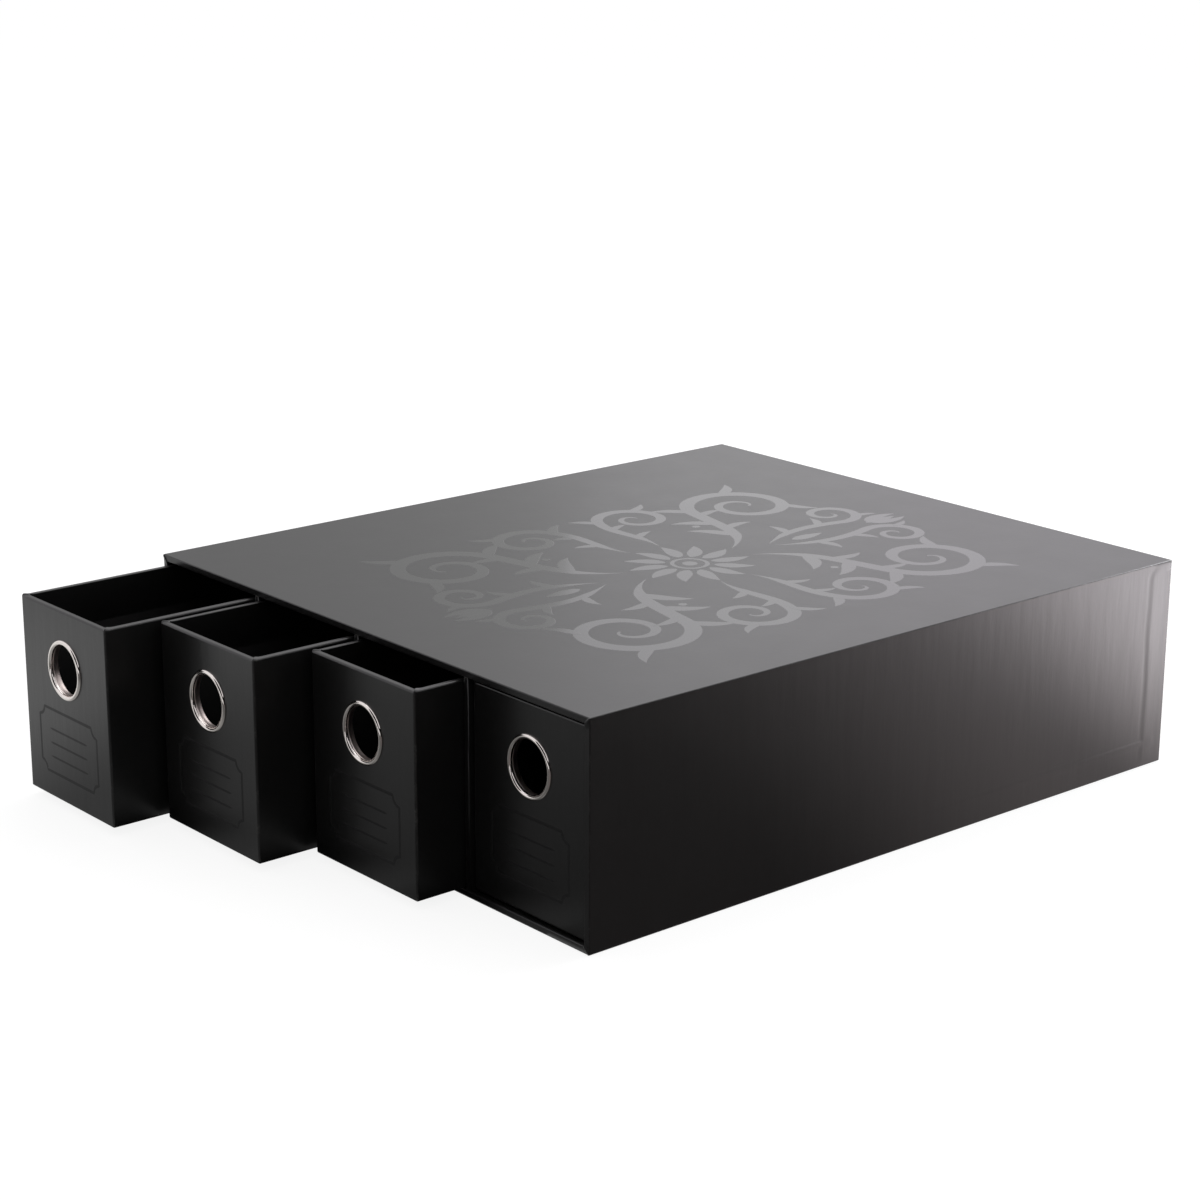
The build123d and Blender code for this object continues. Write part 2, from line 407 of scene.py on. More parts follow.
def ink_material(name, tones, roughness, unevenness, fibre, mottle, **settings):
    """Varnish or ink printed on the covering, with the paper's grain in its surface."""
    material, tree, shader = new_material(name)
    grain = placed(tree, PAPER_GRAIN, Fibre=fibre, Mottle=mottle, Waves=0.03)
    cloud = grain.outputs["Cloud"]
    rough = sums(tree, "MULTIPLY_ADD", cloud, unevenness, roughness)
    colour = tint(tree, cloud, grey(tones[0]), grey(tones[1]))
    feed(tree, shader, Base_Color=colour, Roughness=rough, **settings)
    bumped(tree, shader, grain.outputs["Height"])
    return material


def greyboard_material():
    """Recycled board: warm grey with dark and pale fibres."""
    material, tree, shader = new_material("greyboard")
    place = node(tree, "TexCoord").outputs["Object"]
    fibres = noise(tree, stretched(tree, place, (1.0, 0.25, 1.0)), BOARD_FIBRE, 4.0, 0.7)
    clouds = noise(tree, place, BOARD_CLOUD, 3.0)
    colour = tint(tree, clouds, (0.23, 0.215, 0.19, 1), (0.3, 0.285, 0.25, 1))
    colour = tint(tree, ramp(tree, fibres, 0.6, 0.75), colour, grey(0.1, 0.05))
    colour = tint(tree, ramp(tree, fibres, 0.4, 0.25), colour, grey(0.5, 0.05))
    feed(tree, shader, Base_Color=colour, Roughness=ramp(tree, fibres, -3.0, 1.3))
    bumped(tree, shader, sums(tree, "MULTIPLY", fibres, 0.03 * MM))
    return material


def tape_material():
    """Gummed paper tape: brown kraft with darker and lighter fibres."""
    material, tree, shader = new_material("gummed_tape")
    place = node(tree, "TexCoord").outputs["Object"]
    fibres = noise(tree, place, TAPE_FIBRE, 4.0, 0.7)
    colour = tint(tree, fibres, (0.2, 0.12, 0.06, 1), (0.34, 0.22, 0.12, 1))
    feed(tree, shader, Base_Color=colour, Roughness=ramp(tree, fibres, -2.0, 1.6))
    bumped(tree, shader, sums(tree, "MULTIPLY", fibres, 0.02 * MM))
    return material


def nickel_material():
    """Nickel plate: bright on the bead; duller, lined and darker along the barrel, the darker colour
    partly duller plating and partly painted shade inside the hole.
    """
    material, tree, shader = new_material("nickel_plate")
    place = node(tree, "TexCoord").outputs["Object"]
    barrel = node(tree, "Attribute", attribute_name="barrel").outputs["Fac"]
    smears = noise(tree, place, NICKEL_SMEARS, 3.0, 0.6)
    scuffs = noise(tree, place, NICKEL_SCUFFS, 2.0, 0.5)
    lines = noise(tree, stretched(tree, place, (1.0, 0.06, 1.0)), NICKEL_LINES, 2.0, 0.6)
    colour = tint(tree, smears, (0.72, 0.67, 0.63, 1), (0.8, 0.765, 0.73, 1))
    # Painted shade: the barrel inside the hole gets a darker colour, partly for its duller plating and
    # partly standing in for the shade in the hole.
    colour = tint(tree, barrel, colour, (0.52, 0.455, 0.43, 1))
    rough = sums(tree, "MULTIPLY_ADD", smears, 0.1, 0.07)
    rough = sums(tree, "ADD", rough, sums(tree, "MULTIPLY", barrel, 0.24))
    feed(tree, shader, Base_Color=colour, Metallic=1.0, Roughness=rough)
    marks = sums(tree, "MULTIPLY", sums(tree, "MULTIPLY", lines, barrel), 0.004 * MM)
    bumped(tree, shader, sums(tree, "ADD", marks, sums(tree, "MULTIPLY", scuffs, 0.0006 * MM)))
    return material


COVERING = paper_material(
    "covering_paper", tone=0.004, roughness=0.3, fibre=0.0025, mottle=0.015, waves=0.03, wear=0.3,
    dust=0.25,
)
LINING = paper_material(
    "lining_paper", tone=0.004, roughness=0.6, fibre=0.006, mottle=0.01, waves=0.03, wear=0.0, dust=0.1
)
GLOSS_VARNISH = ink_material(
    "gloss_varnish", (0.006, 0.009), roughness=0.08, unevenness=0.06, fibre=0.0004, mottle=0.003,
    IOR=1.6,
)
MATT_INK = ink_material(
    "matt_print", (0.001, 0.003), roughness=0.45, unevenness=0.1, fibre=0.002, mottle=0.006,
    Specular_IOR_Level=0.36,
)
GREYBOARD = greyboard_material()
TAPE = tape_material()
NICKEL = nickel_material()


# Mesh helpers

def add_box(bm, low, high):
    """A box between two corners, and its vertices."""
    size = high - low
    matrix = Matrix.Translation((low + high) / 2) @ Matrix.Diagonal((*size, 1))
    return bmesh.ops.create_cube(bm, size=1, matrix=matrix)["verts"]


def flat_axes(facing):
    """The two axes that a face looking along the third one lies along."""
    return [axis for axis in (X, Y, Z) if abs(axis.dot(facing)) < 0.5]


def add_sheet(bm, low, high, facing):
    """A flat rectangle between two corners that share one coordinate, facing along an axis."""
    corners = [low.copy() for _ in range(4)]
    for corner, picks in zip(corners, ((0, 0), (1, 0), (1, 1), (0, 1))):
        for axis, pick in zip(flat_axes(facing), picks):
            corner += axis * (axis.dot(high - low) * pick)
    face = bm.faces.new([bm.verts.new(corner) for corner in corners])
    face.normal_update()
    if face.normal.dot(facing) < 0:
        face.normal_flip()


def face_towards(bm, direction):
    """The face that lies furthest out in a direction, of those that look that way."""
    looking = [face for face in bm.faces if face.normal.dot(direction) > 0.99]
    return max(looking, key=lambda face: face.calc_center_median().dot(direction))


def turn_in(bm, direction, wall, depth):
    """Opens one side of a box: a rim as wide as the wall, then a strip folded in along the wall."""
    mouth = face_towards(bm, direction)
    bmesh.ops.inset_region(bm, faces=[mouth], thickness=wall, use_even_offset=True)
    extruded = bmesh.ops.extrude_face_region(bm, geom=[mouth])["geom"]
    moved = [item for item in extruded if isinstance(item, bmesh.types.BMVert)]
    bmesh.ops.translate(bm, vec=-direction * depth, verts=moved)
    ends = [item for item in extruded if isinstance(item, bmesh.types.BMFace)]
    bmesh.ops.delete(bm, geom=[mouth, *ends], context="FACES_ONLY")


def border_only(bm, direction, width):
    """Keeps a border as wide as given of one side of a box, and cuts the rest away."""
    side = face_towards(bm, direction)
    bmesh.ops.inset_region(bm, faces=[side], thickness=width, use_even_offset=True)
    bmesh.ops.delete(bm, geom=[side], context="FACES_ONLY")


def bevelled(bm, edges, radius, segments):
    """Rounds edges, and gives the new faces."""
    made = bmesh.ops.bevel(
        bm, geom=edges, offset=radius, segments=segments, profile=0.5, affect="EDGES", material=-1
    )
    return made["faces"]


def round_folds(bm, radius=EDGE_ROUND):
    """Rounds every outward fold, and marks the rounded faces for wear."""
    folds = [
        edge
        for edge in bm.edges
        if len(edge.link_faces) == 2 and edge.is_convex and edge.calc_face_angle() > 1.0
    ]
    mark = bm.faces.layers.float.get("fold") or bm.faces.layers.float.new("fold")
    for face in bevelled(bm, folds, radius, EDGE_STEPS):
        face[mark] = 1.0


def cut_across(bm, faces, place, across):
    """Cuts some of the faces along a plane, and leaves both sides."""
    geometry = set(faces)
    for face in faces:
        geometry.update(face.edges)
        geometry.update(face.verts)
    bmesh.ops.bisect_plane(bm, geom=list(geometry), plane_co=place, plane_no=across, dist=CUT_TOLERANCE)


def eased(value):
    """Smooth step from 0 to 1."""
    value = min(max(value, 0.0), 1.0)
    return value * value * (3 - 2 * value)


def height_along(profile, place):
    """Height at a place along a profile of (place, height) in millimetres."""
    place /= MM
    for (start, low), (end, high) in zip(profile, profile[1:]):
        if place < end:
            share = max(place - start, 0) / (end - start)
            return (low + (high - low) * share) * MM
    return profile[-1][1] * MM


def pinch_fold(bm, corner, along_a, along_b, out, rounding):
    """Shapes the mitred fold where two turned-in papers meet at a corner of a rim."""
    across = (along_a - along_b).normalized()
    reach = 2 * DRAWER_WALL
    for place, _ in FOLD_PROFILE:
        rim = [
            face
            for face in bm.faces
            if min((vert.co - corner).dot(out) for vert in face.verts) > -1.1 * rounding
            and min((vert.co - corner).length for vert in face.verts) < reach
        ]
        cut_across(bm, rim, corner + across * (place * MM), across)
    for vert in bm.verts:
        away = vert.co - corner
        if away.length < reach:
            level = eased(1 + away.dot(out) / rounding)
            vert.co += out * (level * height_along(FOLD_PROFILE, away.dot(across)))


def press_patch(bm, limits, inwards, depth):
    """Presses a soft-edged rectangle into a sheet. limits holds an (axis, start, end) for each way."""
    for axis, start, end in limits:
        for edge, sense in ((start, -1), (end, 1)):
            for share in (0, 0.33, 0.67, 1):
                place = axis * (edge + sense * share * SOFT_STEP)
                cut_across(bm, list(bm.faces), place, axis)
    for vert in bm.verts:
        share = 1.0
        for axis, start, end in limits:
            along = vert.co.dot(axis)
            share *= eased((along - start) / SOFT_STEP + 1)
            share *= eased((end - along) / SOFT_STEP + 1)
        vert.co += inwards * (depth * share)


def show_tape(bm, side, low, high):
    """Raises one side of the covering over the tape along its rear and its lower edge."""
    rear = high.y - UPRIGHT_STAY_WIDTH
    foot = low.z + LYING_STAY_WIDTH
    upper_end = high.z - RIDGE_UPPER_GAP
    lower_end = low.z + RIDGE_LOWER_GAP
    overlap = Vector((high.x * side, rear + OVERLAP_SHIFT, foot))

    def on_side(face):
        return face.normal.x * side > 0.9 and abs(face.calc_center_median().x) > high.x - MM

    cuts = [(Y, rear + inward * MM) for inward, _ in UPRIGHT_PROFILE]
    cuts += [(Y, share * rear) for share in LENGTH_CUTS]
    cuts += [(Z, foot - inward * MM) for inward, _ in LYING_PROFILE]
    cuts += [(Z, upper_end + step * MM) for step in UPPER_END_CUTS]
    cuts += [(Z, step * MM) for step in HEIGHT_CUTS]
    for axis, place in cuts:
        cut_across(bm, [face for face in bm.faces if on_side(face)], axis * place, axis)
    for vert in {vert for face in bm.faces if on_side(face) for vert in face.verts}:
        place = vert.co
        waves = sum(share * math.sin(turns * place.z / MM) for turns, share in RIDGE_WAVES)
        lean = RIDGE_HOOK * eased((place.z - upper_end) / RIDGE_HOOK_LENGTH + 0.5)
        inwards = place.y - rear + RIDGE_WANDER * waves - lean
        upright = height_along(UPRIGHT_PROFILE, inwards)
        upright *= eased((upper_end - place.z) / RIDGE_FADE + 0.8)
        upright *= eased((place.z - lower_end) / RIDGE_FADE + 1)
        doubled = OVERLAP_BUMP * eased(1.2 - (place - overlap).length / OVERLAP_REACH)
        lying = height_along(LYING_PROFILE, foot - place.z)
        lying *= eased(place.y / rear) * eased((rear - place.y) / LYING_FADE + 1)
        vert.co.x += side * max(upright, lying, doubled, key=abs)


def mesh_from(bm, name):
    """Turns a bmesh into a mesh, and frees it."""
    mesh = bpy.data.meshes.new(name)
    bm.to_mesh(mesh)
    bm.free()
    return mesh


def add_object(name, data):
    """A new object in the scene."""
    made = bpy.data.objects.new(name, data)
    bpy.context.scene.collection.objects.link(made)
    return made


def make_piece(name, bm, material, body, nodes=()):
    """Finishes a mesh as one piece of the object that rides on a body."""
    bm.normal_update()
    for face in bm.faces:
        face.smooth = max(abs(part) for part in face.normal) < FLAT_FACING
    piece = add_object(name, mesh_from(bm, name))
    piece.data.materials.append(material)
    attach(piece, body)
    if nodes:
        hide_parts(*nodes)
    return piece


def give_thickness(piece, thickness=PAPER):
    """Turns a skin into a sheet that lies behind its visible side."""
    sheet = piece.modifiers.new("thickness", "SOLIDIFY")
    sheet.thickness = thickness
    sheet.offset = -1
    sheet.use_even_offset = True


def settle(piece):
    """Applies a piece's modifiers to its mesh."""
    shown = piece.evaluated_get(bpy.context.evaluated_depsgraph_get())
    mesh = bpy.data.meshes.new_from_object(shown)
    piece.modifiers.clear()
    piece.data = mesh


def drill(piece, middle):
    """Cuts a finger ring's hole along Y through a piece."""
    bm = bmesh.new()
    turned = Matrix.Translation(middle) @ Matrix.Rotation(math.pi / 2, 4, "X")
    bmesh.ops.create_cone(
        bm, cap_ends=True, segments=RING_STEPS, radius1=RING_HOLE, radius2=RING_HOLE, depth=DRILL_DEPTH,
        matrix=turned,
    )
    cutter = add_object("drill", mesh_from(bm, "drill"))
    hole = piece.modifiers.new("hole", "BOOLEAN")
    hole.operation = "DIFFERENCE"
    hole.solver = "EXACT"
    hole.object = cutter
    settle(piece)
    bpy.data.meshes.remove(cutter.data)


# Case

def case_walls():
    """Low and high corners of the case's covering, without the tape, and of its lined mouth."""
    low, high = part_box("case_wrap")
    covered_low = Vector((low.x + STAY_TAPE, low.y, low.z + STAY_TAPE))
    covered_high = Vector((high.x - STAY_TAPE, high.y - STAY_TAPE, high.z - LID_DROP))
    room_low, room_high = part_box("case_lining")
    mouth_low = Vector((room_low.x + PAPER, low.y, room_low.z + PAPER))
    mouth_high = Vector((room_high.x - PAPER, low.y, room_high.z - PAPER))
    return covered_low, covered_high, mouth_low, mouth_high


def case_wrap():
    """Covering of the case, turned in at the mouth, under the base and onto the back."""
    low, high, mouth_low, mouth_high = case_walls()
    bm = bmesh.new()
    add_box(bm, low, high)
    turn_in(bm, -Y, mouth_low.x - low.x, CASE_TURN_IN)
    # The mouth's strip lies on the lining's floor and ceiling
    for vert in bm.verts:
        if abs(vert.co.x) < high.x - MM:
            vert.co.z = mouth_low.z if vert.co.z < high.z / 2 else mouth_high.z
    border_only(bm, Y, BACK_TURN_OVER)
    border_only(bm, -Z, BASE_TURN_UNDER)
    round_folds(bm)
    for x, along_a in ((low.x, X), (high.x, -X)):
        for z, along_b in ((low.z, Z), (high.z, -Z)):
            pinch_fold(bm, Vector((x, low.y, z)), along_a, along_b, -Y, EDGE_ROUND)
    for side in (-1, 1):
        show_tape(bm, side, low, high)
    piece = make_piece("case_covering", bm, COVERING, "case", ["case_wrap"])
    give_thickness(piece)


def corner_stays():
    """Tape over the case's board joints, each strip folded round one of them."""
    low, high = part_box("case_corner_stays")
    rear = high.y - STAY_TAPE - UPRIGHT_STAY_WIDTH
    foot = low.z + STAY_TAPE + LYING_STAY_WIDTH
    clear = STAY_TAPE + UPRIGHT_STAY_WIDTH + STAY_SPACING
    across = (Vector((low.x + clear, rear, low.z)), Vector((high.x - clear, high.y, foot)))
    strips = [(*across, (Y, -Z))]
    for side, edge in ((-X, low.x), (X, high.x)):
        inwards = -side.x
        wide = sorted((edge, edge + inwards * (STAY_TAPE + UPRIGHT_STAY_WIDTH)))
        narrow = sorted((edge, edge + inwards * (STAY_TAPE + LYING_STAY_WIDTH)))
        upright = (Vector((wide[0], rear, low.z + STAY_END_GAP)), Vector((wide[1], high.y, high.z)))
        lying = (Vector((narrow[0], low.y, low.z)), Vector((narrow[1], rear - STAY_SPACING, foot)))
        strips += [(*upright, (side, Y)), (*lying, (side, -Z))]
    bm = bmesh.new()
    for start, end, outsides in strips:
        corners = add_box(bm, start, end)
        bm.normal_update()
        faces = {face for corner in corners for face in corner.link_faces}
        hidden = [face for face in faces if max(face.normal.dot(out) for out in outsides) < 0.9]
        bmesh.ops.delete(bm, geom=hidden, context="FACES")
    round_folds(bm)
    piece = make_piece("case_corner_tape", bm, TAPE, "case", ["case_corner_stays"])
    give_thickness(piece, STAY_TAPE)


def case_lining():
    """Lining of the room inside the case."""
    _, _, mouth_low, mouth_high = case_walls()
    low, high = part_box("case_lining")
    bm = bmesh.new()
    rear = Vector((mouth_high.x, high.y - PAPER, mouth_high.z))
    add_box(bm, Vector((mouth_low.x, low.y, mouth_low.z)), rear)
    bmesh.ops.delete(bm, geom=[face_towards(bm, -Y)], context="FACES_ONLY")
    bmesh.ops.reverse_faces(bm, faces=bm.faces)
    piece = make_piece("case_inner_lining", bm, LINING, "case", ["case_lining"])
    give_thickness(piece)


def pasted_sheet(name, node_name, facing, turn_width):
    """A sheet pasted over turned edges: it sinks a little inside them."""
    low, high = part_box(node_name)
    outside = high if facing.dot(Vector((1, 1, 1))) > 0 else low
    flat_low, flat_high = low.copy(), high.copy()
    axis = 1 if facing.y else 2
    flat_low[axis] = flat_high[axis] = outside[axis]
    bm = bmesh.new()
    add_sheet(bm, flat_low, flat_high, facing)
    inset = turn_width + SOFT_STEP
    limits = [(flat, low.dot(flat) + inset, high.dot(flat) - inset) for flat in flat_axes(facing)]
    press_patch(bm, limits, -facing, PRESSED_IN)
    piece = make_piece(name, bm, COVERING, "case", [node_name])
    give_thickness(piece, PASTED_SHEET)


def partition_paper(number):
    """Paper folded round a partition's front edge, with glue tabs on the floor and ceiling."""
    node_name = f"partition_{number}_paper"
    low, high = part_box(node_name)
    board_low, board_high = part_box(f"partition_{number}_board")
    wall_low = Vector((board_low.x - PAPER, low.y, low.z))
    wall_high = Vector((board_high.x + PAPER, high.y, high.z))
    bm = bmesh.new()
    add_box(bm, wall_low, wall_high)
    ends = [face_towards(bm, direction) for direction in (Y, Z, -Z)]
    bmesh.ops.delete(bm, geom=ends, context="FACES_ONLY")
    round_folds(bm)
    tab_front = low.y + GLUE_TAB_SETBACK
    for start, end in ((low.x, wall_low.x), (wall_high.x, high.x)):
        for level, facing in ((low.z + PAPER, Z), (high.z - PAPER, -Z)):
            add_sheet(bm, Vector((start, tab_front, level)), Vector((end, high.y, level)), facing)
    name = f"partition_{number}_covering"
    give_thickness(make_piece(name, bm, COVERING, "case", [node_name]))


# Drawers

def ring_middle(number):
    """Where a finger ring's axis meets the drawer's front face."""
    low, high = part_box(f"drawer_{number}_finger_ring")
    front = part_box(f"drawer_{number}_paper")[0].y
    return Vector(((low.x + high.x) / 2, front, (low.z + high.z) / 2))


def drawer_paper(number):
    """Covering of a drawer: over the rim, down inside, and folded at the rim's corners."""
    node_name = f"drawer_{number}_paper"
    low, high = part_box(node_name)
    bm = bmesh.new()
    add_box(bm, low, high)
    round_folds(bm, DRAWER_ROUND)
    turn_in(bm, Z, DRAWER_WALL - DRAWER_ROUND, DRAWER_TURN_IN)
    round_folds(bm, RIM_INNER_ROUND)
    for x, along_a in ((low.x, X), (high.x, -X)):
        for y, along_b in ((low.y, Y), (high.y, -Y)):
            pinch_fold(bm, Vector((x, y, high.z)), along_a, along_b, Z, DRAWER_ROUND)
    body = f"drawer_{number}"
    piece = make_piece(f"{body}_covering", bm, COVERING, body, [node_name])
    give_thickness(piece)
    drill(piece, ring_middle(number))


def drawer_board(number, side):
    """Board of a drawer, with its outer edges pressed round under the covering."""
    node_name = f"drawer_{number}_{side}_board"
    low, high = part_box(f"drawer_{number}_paper")
    bm = bmesh.new()
    add_box(bm, *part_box(node_name))

    def on_outer_edge(place):
        near = (min(a - b, c - a) < 1.5 * PAPER for a, b, c in zip(place, low, high))
        return sum(near) > 1

    edges = [edge for edge in bm.edges if on_outer_edge((edge.verts[0].co + edge.verts[1].co) / 2)]
    bevelled(bm, edges, DRAWER_ROUND - PAPER / 2, BOARD_EDGE_STEPS)
    body = f"drawer_{number}"
    piece = make_piece(f"{body}_{side}_greyboard", bm, GREYBOARD, body, [node_name])
    if side == "front":
        drill(piece, ring_middle(number))


def drawer_lining(number):
    """Lining of a drawer, up to the end of the turned-in covering."""
    node_name = f"drawer_{number}_lining"
    low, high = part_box(node_name)
    inner = Vector((PAPER, PAPER, PAPER))
    bm = bmesh.new()
    add_box(bm, low + inner, high - Vector((PAPER, PAPER, 0)))
    bmesh.ops.delete(bm, geom=[face_towards(bm, Z)], context="FACES_ONLY")
    bmesh.ops.reverse_faces(bm, faces=bm.faces)
    body = f"drawer_{number}"
    piece = make_piece(f"{body}_inner_lining", bm, LINING, body, [node_name])
    give_thickness(piece)
    drill(piece, ring_middle(number))


def arc(middle, radii, start, end, steps):
    """Points on an arc of an ellipse, in degrees."""
    for step in range(steps + 1):
        angle = math.radians(start + (end - start) * step / steps)
        yield middle[0] + radii[0] * math.cos(angle), middle[1] + radii[1] * math.sin(angle)


def spun(name, section, number, material, nodes=()):
    """A closed section of (radius, depth) points spun about a drawer's ring axis."""
    middle = ring_middle(number)
    bm = bmesh.new()
    verts = [bm.verts.new(middle + X * radius + Y * depth) for radius, depth in section]
    edges = [bm.edges.new(pair) for pair in zip(verts, verts[1:] + verts[:1])]
    bmesh.ops.spin(
        bm, geom=verts + edges, cent=middle, axis=Y, angle=math.tau, steps=RING_STEPS, use_merge=True
    )
    bmesh.ops.recalc_face_normals(bm, faces=bm.faces)
    # Depth into the hole: the nickel makes the barrel duller and lined there, and darker in colour as
    # partly painted shade.
    mark = bm.verts.layers.float.new("barrel")
    for vert in bm.verts:
        vert[mark] = eased((vert.co.y - middle.y) / MM)
    piece = make_piece(name, bm, material, f"drawer_{number}", nodes)
    for face in piece.data.polygons:
        face.use_smooth = True
    piece.data.set_sharp_from_angle(angle=math.radians(RING_CREASE))


def finger_ring(number):
    """Eyelet with a rolled front bead and a rear end rolled down on its washer."""
    seat = DRAWER_WALL + WASHER_THICKNESS
    roll_middle = (BARREL_INSIDE[-1][0] * MM + ROLL_RADIUS, seat)
    section = list(arc((BEAD_MIDDLE, 0), (BEAD_HALF_WIDTH, BEAD_HEIGHT), 0, -180, BEAD_STEPS))
    section += [(radius * MM, depth * MM) for radius, depth in BARREL_INSIDE]
    section += arc(roll_middle, (ROLL_RADIUS, ROLL_RADIUS), 180, 0, ROLL_STEPS)
    section += [(BARREL_OUTSIDE, seat), (BARREL_OUTSIDE, 0)]
    body = f"drawer_{number}"
    spun(f"{body}_eyelet", section, number, NICKEL, [f"{body}_finger_ring"])


def ring_washer(number):
    """Washer behind the board, with softened edges."""
    half = WASHER_THICKNESS / 2
    level = DRAWER_WALL + half
    section = list(arc((WASHER_OUTER - half, level), (half, half), -90, 90, WASHER_EDGE_STEPS))
    section += arc((WASHER_INNER + half, level), (half, half), 90, 270, WASHER_EDGE_STEPS)
    spun(f"drawer_{number}_ring_washer", section, number, NICKEL)


# Printed designs, in (u, v, half width) points

def bezier(handles, steps):
    """Points on a cubic curve."""
    for step in range(steps + 1):
        t = step / steps
        s = 1 - t
        weights = (s ** 3, 3 * s * s * t, 3 * s * t * t, t ** 3)
        yield [sum(w * handle[i] for w, handle in zip(weights, handles)) for i in (0, 1)]


def scroll(start, heading, middle, radius, angle, turns, sense, width):
    """A stem that leaves its start along a heading and winds into a spiral, in degrees and turns.

    The spiral tightens to a tenth of its radius, and the stroke swells past its start and tapers.
    """
    heading, angle = math.radians(heading), math.radians(angle)
    join = (middle[0] + radius * math.cos(angle), middle[1] + radius * math.sin(angle))
    reach = math.dist(start, join) / 2.4
    away = (start[0] + reach * math.cos(heading), start[1] + reach * math.sin(heading))
    near = (join[0] + reach * sense * math.sin(angle), join[1] - reach * sense * math.cos(angle))
    path = list(bezier((start, away, near, join), STEM_STEPS))
    steps = int(SPIRAL_STEPS * turns)
    for step in range(1, steps + 1):
        share = step / steps
        size = radius * ((1 - share) ** 0.85 * (1 - 0.12 * share) + 0.1 * share)
        turn = angle + sense * share * turns * math.tau
        path.append((middle[0] + size * math.cos(turn), middle[1] + size * math.sin(turn)))
    points = []
    for i, (u, v) in enumerate(path):
        t = i / (len(path) - 1)
        swell = math.sin(math.pi * min(1, t * 1.02 + 0.02) ** 0.7)
        points.append((u, v, width * min(1, 9 * t + 0.1) * (0.18 + 0.82 * max(swell, 0) ** 0.8)))
    return points


def leaf(start, heading, length, bend, width):
    """A curved leaf, pointed at both ends."""
    heading, bend = math.radians(heading), math.radians(bend)
    u, v = start
    points = []
    for step in range(LEAF_STEPS + 1):
        t = step / LEAF_STEPS
        points.append((u, v, width * math.sin(math.pi * t ** 0.75) ** 0.9 + 0.05))
        u += length / LEAF_STEPS * math.cos(heading + bend * t)
        v += length / LEAF_STEPS * math.sin(heading + bend * t)
    return points


def leaves_along(stem, places, side, length, bend, width):
    """Leaves that spring from one side of a stem, smaller towards its end."""
    for place in places:
        i = int(place * (len(stem) - 2))
        (u, v, _), (u_next, v_next, _) = stem[i], stem[i + 1]
        heading = math.degrees(math.atan2(v_next - v, u_next - u))
        shrink = 1 - LEAF_SHRINK * place
        turned = heading + side * LEAF_ANGLE
        yield leaf((u, v), turned, length * shrink, side * bend, width * shrink)


def dot(middle, radius):
    """A round dot."""
    turns = [math.pi * step / DOT_STEPS for step in range(DOT_STEPS + 1)]
    u, v = middle
    return [(u - radius * math.cos(a), v, radius * math.sin(a) + 0.02) for a in turns]


def circle(radius, width):
    """A ring about the middle."""
    turns = [math.tau * step / CIRCLE_STEPS for step in range(CIRCLE_STEPS + 1)]
    return [(radius * math.cos(a), radius * math.sin(a), width) for a in turns]


def scrollwork_quarter():
    """Strokes of one quarter of the lid's scrollwork."""
    main = scroll(
        start=(7, 33), heading=62, middle=(62, 92), radius=29, angle=-75, turns=1.55, sense=1, width=3.8
    )
    low = scroll(
        start=(31, 9), heading=20, middle=(76, 33), radius=19, angle=-60, turns=1.35, sense=1, width=3
    )
    crown = scroll(
        start=(1.5, 52), heading=62, middle=(23, 113), radius=15.5, angle=195, turns=1.3, sense=-1,
        width=2.7,
    )
    strokes = [main, low, crown]
    strokes += leaves_along(main, (0.1, 0.2, 0.3, 0.42, 0.55), -1, 27, 55, 3.6)
    strokes += leaves_along(main, (0.16, 0.27), 1, 21, 60, 2.8)
    strokes += leaves_along(low, (0.3, 0.46), -1, 20, 60, 2.8)
    strokes += leaves_along(low, (0.1, 0.22), 1, 15, 60, 2.2)
    strokes += leaves_along(crown, (0.12, 0.26), -1, 17, 60, 2.4)
    strokes += leaves_along(crown, (0.42,), 1, 15, 55, 2.2)
    strokes += [leaf((2.2, 118), 68, 22, 40, 2.9), dot((47, 47), 2), dot((52.5, 54), 1.4)]
    return strokes


def scrollwork():
    """A rosette with mirrored scrolls and leaves."""
    strokes = [circle(8.2, 1.1), dot((0, 0), 3.6)]
    for angle in range(15, 375, 30):
        u, v = math.cos(math.radians(angle)), math.sin(math.radians(angle))
        strokes.append(leaf((11 * u, 11 * v), angle - 16, 20, 32, 3.6))
    for sense_v in (1, -1):
        strokes.append(leaf((0, 66 * sense_v), 90 * sense_v, 20, 0, 3.2))
        strokes.append(leaf((0, 116 * sense_v), 90 * sense_v, 20, 0, 3))
        for sense_u in (1, -1):
            for stroke in scrollwork_quarter():
                strokes.append([(u * sense_u, v * sense_v, width) for u, v, width in stroke])
    return strokes


def label():
    """A frame with scooped corners round three ruled lines."""
    outline = []
    for sense_u, sense_v, start in ((1, 1, 270), (-1, 1, 360), (-1, -1, 90), (1, -1, 180)):
        for step in range(SCOOP_STEPS + 1):
            turn = math.radians(start - 90 * step / SCOOP_STEPS)
            u = sense_u * LABEL_HALF_WIDTH + LABEL_SCOOP * math.cos(turn)
            v = sense_v * LABEL_HALF_HEIGHT + LABEL_SCOOP * math.sin(turn)
            outline.append((u, v, LABEL_LINE))
    outline.append(outline[0])
    rules = [[(u, v, half_width) for u, half_width in RULE] for v in RULE_LEVELS]
    return [outline, *rules]


